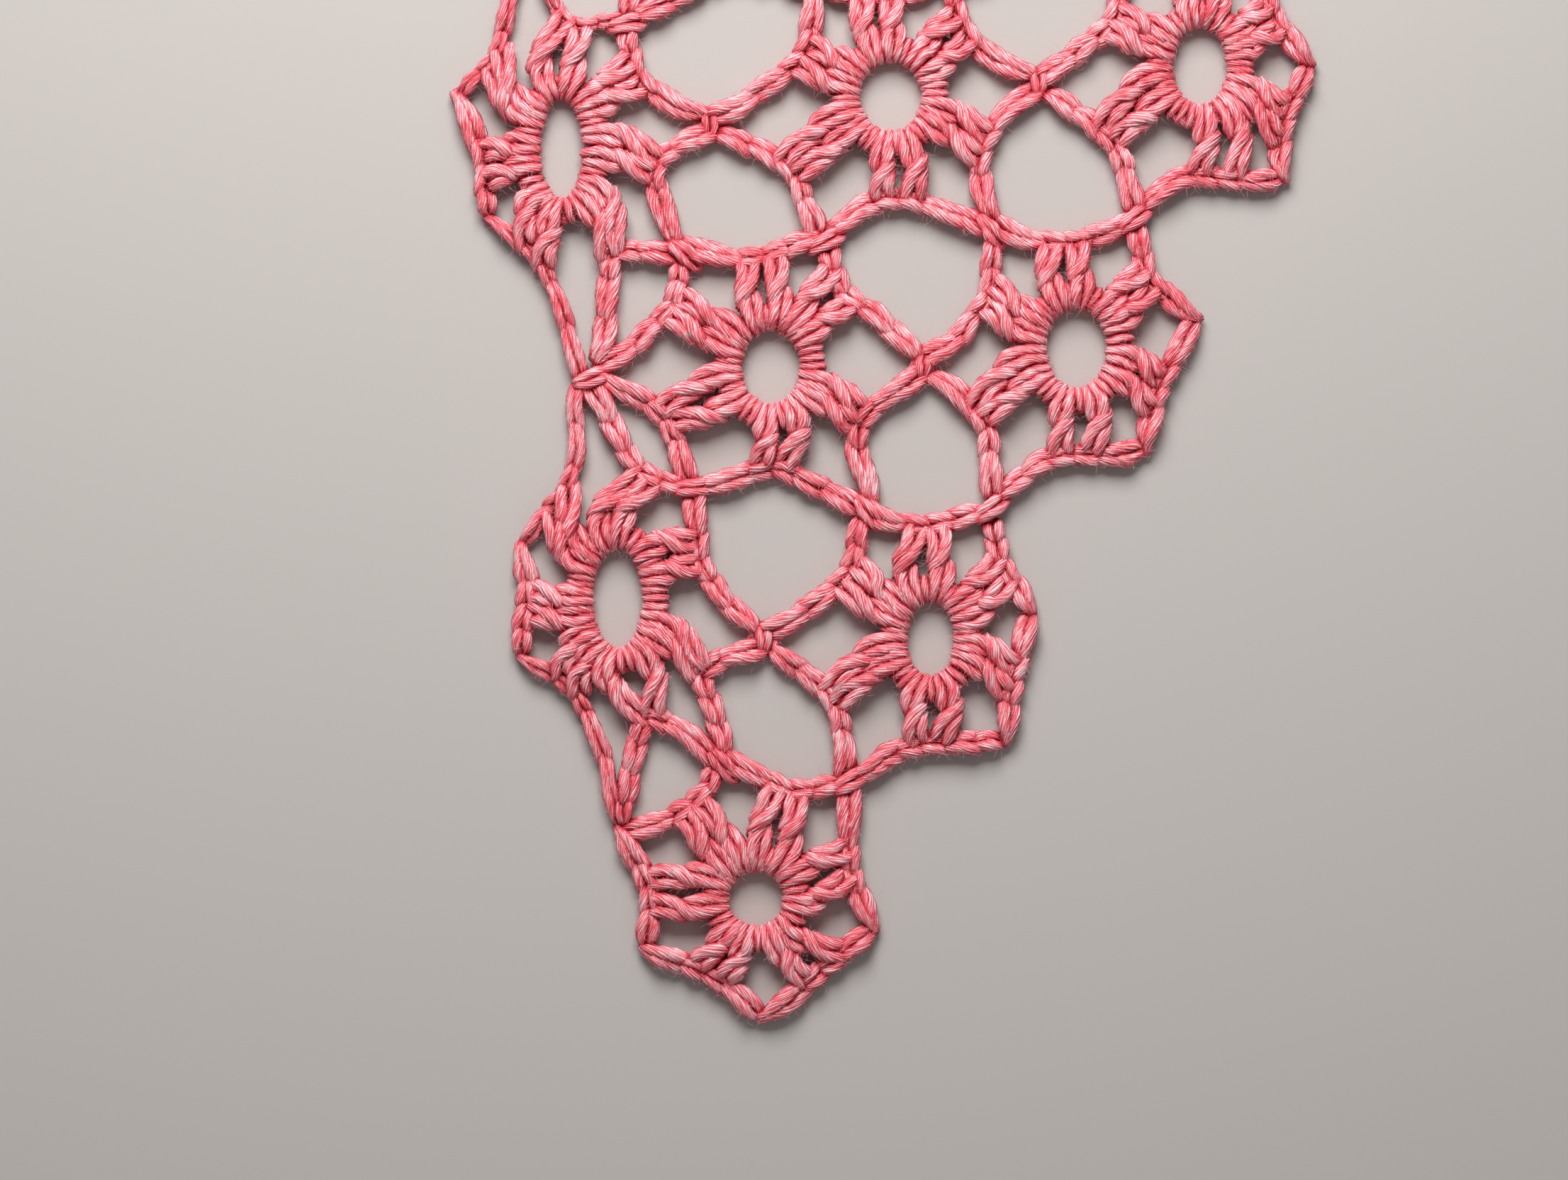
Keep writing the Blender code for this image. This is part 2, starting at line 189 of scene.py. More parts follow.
            [(-8.4, 128.3), (-11.5, 129.3), (-14.6, 131.0), (-17.4, 133.6), (-18.4, 137.0),
             (-18.8, 139.4)],
            [(-20.2, 141.8), (-23.0, 141.2), (-26.3, 140.9), (-29.0, 143.5), (-30.2, 148.0),
             (-30.2, 158.6)],
            [(-31.8, 158.0), (-34.3, 150.0), (-35.7, 144.0), (-37.4, 136.6), (-40.0, 133.6),
             (-42.8, 130.6)],
            [(-42.8, 130.6), (-41.0, 126.6), (-39.2, 121.0), (-39.0, 117.0), (-38.3, 113.4)],
            [(-38.3, 113.4), (-34.8, 110.6), (-31.6, 107.6), (-29.6, 104.0), (-27.9, 99.5),
             (-26.6, 95.0), (-25.7, 92.2)],
        ],
        "posts": [
            ((-29.0, 115.2), (-28.6, 107.6)), ((-26.2, 115.2), (-22.2, 108.0)),
            ((-24.6, 121.6), (-16.2, 119.5)), ((-24.4, 126.0), (-15.4, 123.5)),
            ((-25.0, 129.8), (-17.8, 131.4)), ((-25.6, 132.2), (-19.6, 136.8)),
            ((-27.4, 133.0), (-25.2, 139.4)), ((-29.6, 132.8), (-29.2, 141.5)),
            ((-31.8, 131.6), (-35.3, 137.4)), ((-32.2, 129.2), (-38.3, 133.5)),
            ((-32.8, 124.4), (-38.6, 123.5)), ((-32.6, 120.0), (-38.2, 117.8)),
            ((-31.6, 114.8), (-33.0, 110.8)), ((-23.9, 116.4), (-20.6, 111.0)),
        ],
    },
    "row4_middle": {
        "centre": (18.1, 130.7),
        "hole": (8.8, 9.8),
        "tops": [(19.2, 116.2), (31.1, 123.0), (28.6, 140.2), (16.5, 144.6), (5.8, 136.8),
                 (4.6, 119.4)],
        "runs": [
            [(9.8, 111.8), (12.0, 113.2), (15.0, 115.4), (19.2, 116.2), (22.5, 115.6),
             (26.0, 114.2), (30.0, 112.8)],
            [(32.4, 113.6), (31.6, 116.2), (30.8, 119.5), (31.1, 123.0), (32.8, 126.4),
             (35.0, 128.9), (37.6, 130.9)],
            [(37.6, 133.9), (34.0, 135.4), (30.8, 137.4), (28.6, 140.2), (27.2, 143.5),
             (26.9, 146.2)],
            [(25.0, 147.3), (21.0, 145.6), (16.5, 144.6), (12.0, 145.3), (9.0, 146.6)],
            [(7.2, 145.2), (6.9, 141.0), (5.8, 136.8), (3.2, 134.0), (0.0, 132.0),
             (-3.0, 129.4), (-5.9, 128.2)],
            [(-5.9, 125.3), (-2.0, 123.8), (1.8, 121.8), (4.6, 119.4), (5.9, 115.8), (7.2, 112.8)],
        ],
        "posts": [
            ((17.0, 124.8), (16.5, 118.0)), ((20.5, 124.8), (22.3, 117.8)),
            ((23.2, 126.4), (30.0, 121.5)), ((23.8, 129.4), (30.6, 126.2)),
            ((23.4, 133.6), (28.3, 138.2)), ((21.4, 136.4), (26.5, 142.6)),
            ((18.6, 137.2), (19.0, 143.2)), ((15.5, 136.8), (12.6, 142.8)),
            ((13.2, 135.2), (7.4, 138.0)), ((12.4, 132.0), (5.4, 133.6)),
            ((12.2, 128.8), (3.9, 124.2)), ((13.4, 126.0), (6.2, 119.8)),
        ],
    },
    "row4_right": {
        "centre": (61.6, 135.0),
        "hole": (7.8, 10.8),
        "tops": [(64.0, 119.3), (73.6, 127.6), (71.8, 142.3), (61.5, 149.4), (49.4, 141.3),
                 (49.8, 123.6)],
        "runs": [
            [(53.9, 115.4), (56.0, 117.0), (59.5, 119.3), (64.0, 119.3), (69.0, 118.9),
             (73.4, 119.4)],
            [(73.4, 119.4), (73.0, 123.0), (73.6, 127.6), (75.2, 131.5), (77.0, 135.5)],
            [(77.0, 135.5), (74.6, 138.6), (71.8, 142.3), (70.7, 146.0), (70.4, 150.2)],
            [(68.8, 151.4), (65.0, 150.0), (61.5, 149.4), (57.0, 149.6), (52.4, 150.4)],
            [(50.6, 148.8), (50.0, 145.0), (49.4, 141.3), (45.5, 137.8), (42.0, 135.0),
             (40.4, 134.0)],
            [(40.4, 130.9), (44.0, 128.4), (47.2, 126.2), (49.8, 123.6), (51.2, 120.0),
             (52.3, 116.0)],
        ],
        "posts": [
            ((61.8, 128.4), (60.8, 121.4)), ((65.0, 128.6), (67.8, 120.9)),
            ((66.2, 129.6), (72.3, 124.0)), ((66.6, 132.4), (72.6, 130.0)),
            ((66.4, 136.8), (70.8, 138.2)), ((65.6, 139.8), (69.8, 144.6)),
            ((63.4, 141.6), (64.4, 148.0)), ((60.2, 141.6), (59.4, 148.2)),
            ((57.6, 140.0), (50.8, 142.4)), ((56.6, 137.2), (49.0, 138.4)),
            ((56.2, 134.0), (48.8, 128.6)), ((57.8, 130.4), (51.2, 124.4)),
        ],
    },
    "row5_left": {
        "centre": (-5.5, 162.5),
        "hole": (8.4, 10.0),
        "tops": [(-5.5, 148.3), (7.0, 156.0), (6.8, 172.0), (-6.5, 177.2), (-18.2, 170.8),
                 (-17.8, 155.0)],
        "runs": [
            [(-17.6, 142.0), (-13.0, 144.2), (-5.5, 148.3), (0.5, 148.4), (5.6, 146.6)],
            [(8.4, 148.8), (7.4, 152.0), (7.0, 156.0), (10.6, 160.6), (14.0, 163.6)],
            [(14.0, 166.6), (10.2, 169.2), (6.8, 172.0), (4.6, 176.0), (4.0, 180.6)],
            [(4.0, 180.6), (-1.0, 178.0), (-6.5, 177.2), (-12.6, 177.6), (-17.8, 179.6)],
            [(-17.8, 179.6), (-17.6, 175.4), (-18.2, 170.8), (-23.4, 167.0), (-29.0, 163.8)],
            [(-29.0, 161.2), (-23.0, 158.6), (-17.8, 155.0), (-17.6, 149.0), (-18.4, 144.0)],
        ],
    },
    "row5_middle": {
        "centre": (38.3, 166.5),
        "hole": (8.4, 9.8),
        "tops": [(38.6, 152.0), (51.2, 159.6), (50.8, 175.4), (37.5, 181.0), (25.2, 175.2),
                 (25.2, 158.8)],
        "runs": [
            [(28.4, 147.2), (33.0, 150.2), (38.6, 152.0), (44.4, 151.8), (49.0, 150.6)],
            [(51.4, 152.4), (51.0, 156.0), (51.2, 159.6), (54.6, 164.0), (59.0, 167.2)],
            [(59.0, 170.0), (54.6, 172.6), (50.8, 175.4), (48.8, 179.6), (48.0, 184.0)],
            [(48.0, 184.0), (43.0, 181.8), (37.5, 181.0), (32.0, 181.4), (26.6, 183.0)],
            [(26.6, 183.0), (26.0, 179.4), (25.2, 175.2), (21.4, 170.2), (17.0, 166.8)],
            [(17.0, 163.6), (21.4, 161.6), (25.2, 158.8), (26.4, 154.4), (26.8, 149.8)],
        ],
    },
    "row5_right": {
        "centre": (81.5, 170.5),
        "hole": (8.2, 10.0),
        "tops": [(81.5, 156.2), (94.6, 163.6), (94.0, 178.6), (81.0, 185.0), (68.6, 178.8),
                 (68.4, 162.6)],
        "runs": [
            [(72.0, 151.6), (76.0, 154.4), (81.5, 156.2), (87.0, 155.6), (92.4, 154.4)],
            [(92.4, 154.4), (93.2, 159.0), (94.6, 163.6), (98.0, 167.4), (101.6, 171.4)],
            [(101.6, 171.4), (97.6, 175.0), (94.0, 178.6), (92.6, 183.0), (91.8, 187.0)],
            [(91.8, 187.0), (86.6, 185.4), (81.0, 185.0), (75.6, 185.4), (70.7, 186.6)],
            [(70.7, 186.6), (70.0, 183.0), (68.6, 178.8), (65.4, 174.4), (62.0, 170.4)],
            [(62.0, 167.4), (65.4, 165.4), (68.4, 162.6), (69.8, 158.0), (70.4, 153.8)],
        ],
    },
}

# The way that each knot's stitch lies, in degrees from +X. Those at 90 tie two chains side by side.
KNOT_TURNS = {
    "knot_1_2_left": 90, "knot_1_2_middle": -50, "knot_1_2_right": 30, "knot_2_middle": 90,
    "knot_2_3_edge": 20, "knot_2_3_left": 4, "knot_2_3_middle": -52, "knot_2_3_right": 36,
    "knot_3_middle": 90, "knot_3_4_left": -42, "knot_3_4_middle": 28, "knot_3_4_right": -52,
    "knot_3_4_end": 40, "knot_4_left": 90, "knot_4_right": 90, "knot_4_5_edge": 95,
    "knot_4_5_left": 12, "knot_4_5_middle": 30, "knot_4_5_inner": -50, "knot_4_5_right": 30,
    "knot_4_5_end": 45, "knot_5_left": 90, "knot_5_right": 90,
}

# Yarn and stitches, in millimetres. A strand's section has a ridge and a groove for each ply.
YARN_PLIES = 10
YARN_SIDES = 2 * YARN_PLIES
PLY_DEPTH = 0.17
YARN_STEP = 0.55
YARN_FLATNESS = 0.82
TWIST_LENGTH = 15.0
CHAIN_HEIGHT = 1.5
CHAIN_PITCH = 5.3
TOP_STITCH = 3.4
YARN_FULLNESS = 1.14
THINNEST_YARN = 0.4
STRAND_END = 0.4
STITCH_SHAKE = 0.06
POST_SHAKE = 0.07
ROUTE_STEP = 0.25
RING_NARROW = 0.85
PAIR_CLOSENESS = 0.84
CORNER_TUCK = 1.3
JOIN_REACH = 0.9
TAUT_WIDTH = 0.74
TAUT_PITCH = 6.6
POST_REACH = 0.9
RING_HEIGHT = 1.75
REST_HEIGHT = 0.03
RING_WRAP = 2.1
POST_SPACING = 3.0

# One chain stitch: along it as a share of its pitch, then sideways, up and the yarn's radius.
CHAIN_STITCH = [
    (-0.12, 0.32, -0.35, 0.66), (0.10, 0.48, 0.30, 0.80), (0.40, 0.66, 0.52, 0.90),
    (0.70, 0.80, 0.42, 0.92), (0.96, 0.84, 0.10, 0.86), (1.17, 0.62, -0.35, 0.70),
    (1.27, 0.0, -0.55, 0.60),
    (1.17, -0.62, -0.35, 0.70), (0.96, -0.84, 0.10, 0.86), (0.70, -0.80, 0.42, 0.92),
    (0.40, -0.66, 0.52, 0.90), (0.10, -0.48, 0.30, 0.80), (-0.12, -0.32, -0.35, 0.66),
    (0.10, -0.20, -0.75, 0.58), (0.32, 0.0, -0.85, 0.58), (0.62, 0.10, -0.80, 0.58),
]

# One double-crochet stitch: out from the ring in millimetres, out as a share of its height, then
# sideways, up and the yarn's radius. Two turns round the ring end in long front legs. Above them
# one wrap slants across the post, and its head forks to the outer chain.
DOUBLE_CROCHET = [
    (0.0, 0.96, -0.5, -0.9, 0.60), (0.0, 0.55, -0.5, -1.0, 0.60), (0.0, 0.15, -0.5, -1.1, 0.60),
    (-1.0, 0.0, -0.55, -0.9, 0.62), (-1.70, 0.0, -0.60, 0.1, 0.68),
    (-1.0, 0.0, -0.65, 1.00, 0.76),
    (0.6, 0.0, -0.72, 1.35, 0.88), (0.0, 0.28, -0.70, 1.25, 0.90), (0.0, 0.46, -0.30, 0.9, 0.84),
    (0.0, 0.60, 0.3, 0.3, 0.70), (0.0, 0.54, 0.5, -0.7, 0.60), (0.0, 0.25, 0.5, -1.1, 0.60),
    (-1.0, 0.0, 0.45, -0.9, 0.62), (-1.65, 0.0, 0.48, 0.0, 0.66), (-1.0, 0.0, 0.60, 0.95, 0.74),
    (0.6, 0.0, 0.80, 1.20, 0.86), (0.0, 0.26, 0.98, 1.10, 0.88), (0.0, 0.44, 0.85, 0.80, 0.82),
    (0.0, 0.56, 0.2, 0.1, 0.68), (0.0, 0.42, -0.9, -0.2, 0.60),
    (0.0, 0.32, -1.30, 0.3, 0.66), (0.0, 0.42, -1.10, 1.00, 0.84), (0.0, 0.55, -0.45, 1.40, 0.92),
    (0.0, 0.69, 0.35, 1.30, 0.94), (0.0, 0.84, 0.90, 0.95, 0.90), (0.0, 0.98, 1.10, 0.50, 0.82),
    (0.0, 1.08, 1.1, -0.2, 0.66), (0.0, 0.85, 0.5, -0.85, 0.60), (0.0, 0.62, -0.7, -0.7, 0.60),
    (0.0, 0.54, -1.30, 0.0, 0.66), (0.0, 0.62, -1.20, 0.75, 0.84), (0.0, 0.76, -0.85, 1.05, 0.92),
    (0.0, 0.90, -0.75, 0.90, 0.88), (0.0, 1.0, -0.85, 0.4, 0.78), (0.0, 1.08, -0.9, -0.3, 0.62),
]

# One turn of yarn round the ring between posts: out from the ring, up and the yarn's radius.
RING_TURN = [
    (1.25, -0.45, 0.50), (0.4, -0.95, 0.56), (-0.9, -0.90, 0.60), (-1.62, 0.05, 0.62),
    (-0.95, 0.98, 0.64), (0.2, 1.18, 0.62), (1.0, 0.75, 0.58), (1.45, -0.1, 0.50),
]

# How much of the ring one post covers, and one turn of yarn.
POST_COVER = 2.7
TURN_COVER = 1.3

# Loose fibres: how many to a millimetre of strand, their size, and how free of other strands a
# fibre's root has to be to be kept.

FUZZ_PER_MM = 14.5
FUZZ_RADIUS = 0.018
FUZZ_JOINTS = 4
FUZZ_LOOK = 0.5
FUZZ_CLEAR = 1.15
FUZZ_TAPER = 0.45
FUZZ_SIDES = 3
FUZZ_REST = 0.06

# How far out from a strand's surface to look for others, and how near they are where the painted shade
# between strands begins and where it is full.
LOOK_OUT = 0.9
CLEAR_OF_YARN = 1.5
DEEP_IN_YARN = 0.55


# The yarn's surface: a soft shine, light that sinks in a little, and a faint bloom of fibres.
YARN_SURFACE = {
    "Roughness": 0.46,
    "Specular IOR Level": 0.42,
    "Subsurface Weight": 0.15,
    "Subsurface Radius": (1.0, 0.22, 0.25),
    "Subsurface Scale": 0.9 * MM,
    "Sheen Weight": 0.10,
    "Sheen Roughness": 0.4,
    "Sheen Tint": (1.0, 0.75, 0.76, 1.0),
}


class Socket:
    """A shader socket that takes arithmetic, so that a pattern reads as a formula."""

    def __init__(self, tree, output):
        self.tree, self.output = tree, output

    def _maths(self, operation, other, swapped=False):
        first, second = (other, self) if swapped else (self, other)
        return add_node(
            self.tree, "ShaderNodeMath", {"operation": operation}, input_0=first, input_1=second
        )

    def __add__(self, other):
        return self._maths("ADD", other)

    __radd__ = __add__

    def __mul__(self, other):
        return self._maths("MULTIPLY", other)

    __rmul__ = __mul__

    def __sub__(self, other):
        return self._maths("SUBTRACT", other)

    def __rsub__(self, other):
        return self._maths("SUBTRACT", other, swapped=True)


def add_node(tree, kind, settings=None, output=0, **inputs):
    """Adds a node: its settings first, then its sockets' values or links, by name or number."""
    node = tree.nodes.new(kind)
    for name, value in (settings or {}).items():
        if name == "stops":
            set_stops(node.color_ramp.elements, value)
        else:
            setattr(node, name, value)
    for name, value in inputs.items():
        key = int(name[6:]) if name.startswith("input_") else name.replace("_", " ")
        if isinstance(value, Socket):
            tree.links.new(value.output, node.inputs[key])
        else:
            node.inputs[key].default_value = value
    return Socket(tree, node.outputs[output])


def set_stops(elements, stops):
    """Puts a ramp's stops where they are asked for, each a position and a colour."""
    for _ in stops[2:]:
        elements.new(0.5)
    for element, (position, colour) in zip(elements, stops):
        element.position = position
        element.color = (*colour, 1.0)


def yarn_material(name, deep, middle, light):
    """Twisted plies, each painted as two: pale ridges of painted highlight, deep grooves of painted
    shade and fine fibres along them, with painted shade where other strands crowd close.
    """
    material = bpy.data.materials.new(name)
    material.use_nodes = True
    tree = material.node_tree
    shader = tree.nodes["Principled BSDF"]
    uv = add_node(tree, "ShaderNodeUVMap", {"uv_map": "yarn"})
    place = add_node(tree, "ShaderNodeTexCoord", output=3)
    around = add_node(tree, "ShaderNodeSeparateXYZ", Vector=uv)

    def streaks(across, along, detail):
        stretched = add_node(
            tree, "ShaderNodeMapping", Vector=uv, Scale=(across, along, 1.0)
        )
        return add_node(
            tree, "ShaderNodeTexNoise", Vector=stretched, Scale=1.0, Detail=detail, Roughness=0.6
        )

    # Painted highlight and shade: this cosine makes each painted ply paler on its ridge and darker in
    # its groove, and it also raises the bump.
    turns = around * (math.tau * YARN_SIDES) + math.pi
    ridge = add_node(tree, "ShaderNodeMath", {"operation": "COSINE"}, input_0=turns)
    fibres = streaks(70.0, 0.8, 3.0)
    plies = streaks(YARN_SIDES * 1.0, 0.5, 1.0)
    patches = add_node(
        tree, "ShaderNodeTexNoise", Vector=place, Scale=170.0, Detail=2.0, Roughness=0.5
    )
    # Painted shade between strands: the colour darkens where other strands lie close over the surface.
    buried = add_node(tree, "ShaderNodeAttribute", {"attribute_name": "buried"}, output=2)
    tone = ridge * 0.11 + fibres * 0.5 + plies * 0.9 + patches * 0.4 - buried * 0.6 - 0.36
    # The ramp: deep is the yarn's darkest tone and the painted shade, middle its own coral, light its
    # palest streaks and the painted highlight on the ridges.
    stops = [(0.05, deep), (0.45, middle), (0.74, light)]
    colour = add_node(tree, "ShaderNodeValToRGB", {"stops": stops}, Fac=tone)
    tree.links.new(colour.output, shader.inputs["Base Color"])
    height = ridge * 0.25 + fibres * 0.6 + plies * 0.3
    bump = add_node(
        tree, "ShaderNodeBump", Strength=0.6, Distance=0.12 * MM, Height=height
    )
    tree.links.new(bump.output, shader.inputs["Normal"])
    for socket, value in YARN_SURFACE.items():
        shader.inputs[socket].default_value = value
    return material


def plain_material(name, colour, roughness, sheen=0.0):
    material = bpy.data.materials.new(name)
    material.use_nodes = True
    shader = material.node_tree.nodes["Principled BSDF"]
    shader.inputs["Base Color"].default_value = (*colour, 1.0)
    shader.inputs["Roughness"].default_value = roughness
    shader.inputs["Sheen Weight"].default_value = sheen
    return material


def even_curve(points, step):
    """The smooth curve through the points, as points an even step apart in their first three."""
    points = np.asarray(points, float)
    ends = np.vstack([2 * points[0] - points[1], points, 2 * points[-1] - points[-2]])
    shares = np.linspace(0, 1, 12, endpoint=False)[:, None]
    runs = []
    for a, b, c, d in zip(ends, ends[1:], ends[2:], ends[3:]):
        runs.append(0.5 * (
            2 * b + (c - a) * shares + (2 * a - 5 * b + 4 * c - d) * shares**2
            + (3 * b - a - 3 * c + d) * shares**3
        ))
    fine = np.vstack(runs + [points[-1:]])
    steps = np.linalg.norm(np.diff(fine[:, :3], axis=0), axis=1)
    gone = np.concatenate([[0], np.cumsum(steps)])
    count = max(int(round(gone[-1] / step)), 4)
    at = np.linspace(0, gone[-1], count + 1)
    even = np.stack([np.interp(at, gone, column) for column in fine.T], axis=1)
    return even, at


def carried_frames(path):
    """The direction of the path at each point, with two sides carried along it without turning."""
    along = np.gradient(path, axis=0)
    along /= np.linalg.norm(along, axis=1)[:, None]
    start = np.cross(along[0], (0.3, 0.5, 0.8))
    sides = np.empty_like(path)
    sides[0] = start / np.linalg.norm(start)
    for here in range(1, len(path)):
        side = sides[here - 1] - along[here] * np.dot(sides[here - 1], along[here])
        sides[here] = side / np.linalg.norm(side)
    return along, sides, np.cross(along, sides)


def new_mesh(name, points, faces):
    """A mesh from points in millimetres and groups of faces, all in a group with as many corners."""
    mesh = bpy.data.meshes.new(name)
    mesh.vertices.add(len(points))
    mesh.vertices.foreach_set("co", (points * MM).ravel())
    loops = np.concatenate([group.ravel() for group in faces]).astype(np.int32)
    sizes = np.concatenate([np.full(len(group), group.shape[1]) for group in faces])
    starts = np.concatenate([[0], np.cumsum(sizes)[:-1]]).astype(np.int32)
    mesh.loops.add(len(loops))
    mesh.loops.foreach_set("vertex_index", loops)
    mesh.polygons.add(len(sizes))
    mesh.polygons.foreach_set("loop_start", starts)
    return mesh


def tube_quads(first, rows, sides):
    """The faces of a tube whose rows of points start at the number first, without its ends."""
    row, column = np.meshgrid(np.arange(rows - 1), np.arange(sides), indexing="ij")
    after = (column + 1) % sides
    here = first + row * sides
    return row, column, np.stack(
        [here + column, here + after, here + sides + after, here + sides + column], -1
    )


class Yarn:
    """Collects strands of yarn, and turns them into one mesh with a map along its plies."""

    def __init__(self, seed):
        self.random = np.random.default_rng(seed)
        self.points, self.outs, self.quads, self.maps, self.tips = [], [], [], [], []
        self.count = 0
        self.paths = []

    def strand(self, points):
        """Adds one strand through the points, each with the yarn's radius there last."""
        route, at = even_curve(points, YARN_STEP)
        path, radius = route[:, :3], YARN_FULLNESS * np.maximum(route[:, 3], THINNEST_YARN)
        along, side, up = carried_frames(path)
        self.paths.append((path, along, side, up, radius))
        columns = np.arange(YARN_SIDES)
        ply = columns // 2
        phase = self.random.uniform(0, math.tau, (4, YARN_PLIES))
        pace = self.random.uniform(0.5, 1.5, (3, YARN_PLIES))
        swell = (
            1 + 0.09 * np.sin(at[:, None] * pace[0][ply] + phase[0][ply])
            + 0.06 * np.sin(at[:, None] * 2 * pace[1][ply] + phase[2][ply])
        )
        groove = np.where(columns % 2, 1 - PLY_DEPTH, 1.0)
        reach = radius[:, None] * groove * np.where(columns % 2, 1.0, swell)
        reach[[0, -1]] *= STRAND_END
        sway = 0.13 * np.sin(at[:, None] * pace[2][ply] + phase[1][ply])
        turn = math.tau * at / TWIST_LENGTH + self.random.uniform(0, math.tau)
        angle = (columns * math.tau / YARN_SIDES) + turn[:, None] + sway
        offset = (
            side[:, None, :] * (np.cos(angle) * reach)[:, :, None]
            + up[:, None, :] * (np.sin(angle) * reach)[:, :, None]
        )
        ring = path[:, None, :] + offset * (1, 1, YARN_FLATNESS)
        ring[:, :, 2] = np.maximum(ring[:, :, 2], REST_HEIGHT)
        rows, sides = len(path), YARN_SIDES
        first = self.count
        self.points.append(ring.reshape(-1, 3))
        outwards = offset / np.linalg.norm(offset, axis=2)[:, :, None]
        self.outs.append(outwards.reshape(-1, 3))
        row, column, quad = tube_quads(first, rows, sides)
        self.quads.append(quad.reshape(-1, 4))
        low, high = at[row], at[row + 1]
        left, right = column / sides, (column + 1) / sides
        corner = np.stack([
            np.stack([left, low], -1), np.stack([right, low], -1),
            np.stack([right, high], -1), np.stack([left, high], -1),
        ], -2)
        self.maps.append(corner.reshape(-1, 2) + (0, self.random.uniform(0, 400)))
        self.count += rows * sides
        self.tips += [(first, False), (first + (rows - 1) * sides, True)]

    def buried(self, crowd):
        """How deep each point of the surface lies among other strands, from 0 to 1: the painted shade
        that darkens the yarn's colour there.
        """
        probes = np.vstack(self.points) + np.vstack(self.outs) * LOOK_OUT
        nearest = np.array([crowd.find(probe)[2] for probe in probes])
        return np.clip((CLEAR_OF_YARN - nearest) / (CLEAR_OF_YARN - DEEP_IN_YARN), 0, 1)

    def mesh(self, name, crowd):
        """The strands as one mesh, each end closed with one flat face."""
        caps = []
        for start, last in self.tips:
            cap = np.arange(start, start + YARN_SIDES)
            caps.append(cap if last else cap[::-1])
        mesh = new_mesh(name, np.vstack(self.points), [np.vstack(self.quads), np.vstack(caps)])
        layer = mesh.uv_layers.new(name="yarn")
        cap_map = np.zeros((len(caps) * YARN_SIDES, 2))
        layer.data.foreach_set("uv", np.vstack(self.maps + [cap_map]).astype(np.float32).ravel())
        # Painted shade between strands, kept on each point for the yarn's colour to darken by.
        painted_shade_layer = mesh.attributes.new("buried", "FLOAT", "POINT")
        painted_shade_layer.data.foreach_set("value", self.buried(crowd).astype(np.float32))
        mesh.update(calc_edges=True)
        mesh.validate()
        mesh.shade_smooth()
        ends = np.empty(len(mesh.edges) * 2, np.int32)
        mesh.edges.foreach_get("vertices", ends)
        ends = ends.reshape(-1, 2)
        grooves = (np.abs(ends[:, 0] - ends[:, 1]) == YARN_SIDES) & (ends[:, 0] % 2 == 1)
        mesh.edges.foreach_set("use_edge_sharp", grooves)
        return mesh


def show(name, mesh, material, slot, *nodes):
    """Puts a finished mesh in the scene, in place of the plain nodes that it stands for."""
    mesh.materials.append(material)
    piece = bpy.data.objects.new(name, mesh)
    bpy.context.scene.collection.objects.link(piece)
    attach(piece, "root")
    if nodes:
        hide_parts(*nodes)


def middle_of(node):
    low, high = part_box(node)
    return np.array([(low.x + high.x) / 2, (low.y + high.y) / 2]) / MM


class Flower:
    """One motif's measures, in millimetres in the frame."""

    def __init__(self, name, design, shift):
        self.name = name
        self.centre = middle_of(name + "_ring")
        self.half_hole = np.array(design["hole"]) / 2
        self.taut = design.get("taut", ())
        self.tops = np.array(design["tops"]) + shift
        self.runs = [np.array(run) + shift for run in design["runs"]]
        if "posts" in design:
            self.posts = [np.array(post) + shift for post in design["posts"]]
            for one, other in zip(self.posts[::2], self.posts[1::2]):
                middle = (one + other) / 2
                one += (middle - one) * (1 - PAIR_CLOSENESS)
                other += (middle - other) * (1 - PAIR_CLOSENESS)
        else:
            self.posts = [post for petal in range(len(self.tops)) for post in self.pair(petal)]

    def reach_chain(self, top):
        """The place beside the outer chain that is nearest to a post's top."""
        around = np.vstack([smooth_run(run, 0.5)[0] for run in self.runs])
        nearest = around[np.argmin(np.linalg.norm(around - top, axis=1))]
        inwards = self.centre - nearest
        return nearest + inwards / np.linalg.norm(inwards) * POST_REACH

    def ring_point(self, angle, offset):
        """The point that far outside the hole's edge at an angle, and the way out from there."""
        edge = self.half_hole * (math.cos(angle), math.sin(angle))
        normal = self.half_hole[::-1] * (math.cos(angle), math.sin(angle))
        normal = normal / np.linalg.norm(normal)
        return self.centre + edge + normal * offset, normal

    def ring_angle(self, place):
        reach = (place - self.centre) / self.half_hole
        return math.atan2(reach[1], reach[0])

    def pair(self, petal):
        """A petal's two posts, side by side, where the route of each isn't given."""
        top, angle = self.tops[petal], self.ring_angle(self.tops[petal])
        out = (top - self.centre) / np.linalg.norm(top - self.centre)
        side = np.array([-out[1], out[0]])
        foot = self.ring_point(angle, RING_WRAP)[0]
        return [
            np.array([foot - side * POST_SPACING / 2, top - side * TOP_STITCH * 0.6 - out]),
            np.array([foot + side * POST_SPACING / 2, top + side * TOP_STITCH * 0.6 - out]),
        ]


def smooth_run(points, step):
    """A smooth curve through flat points, with the distance gone at each."""
    path, gone = even_curve([(*point, 0.0) for point in points], step)
    return path[:, :2], gone


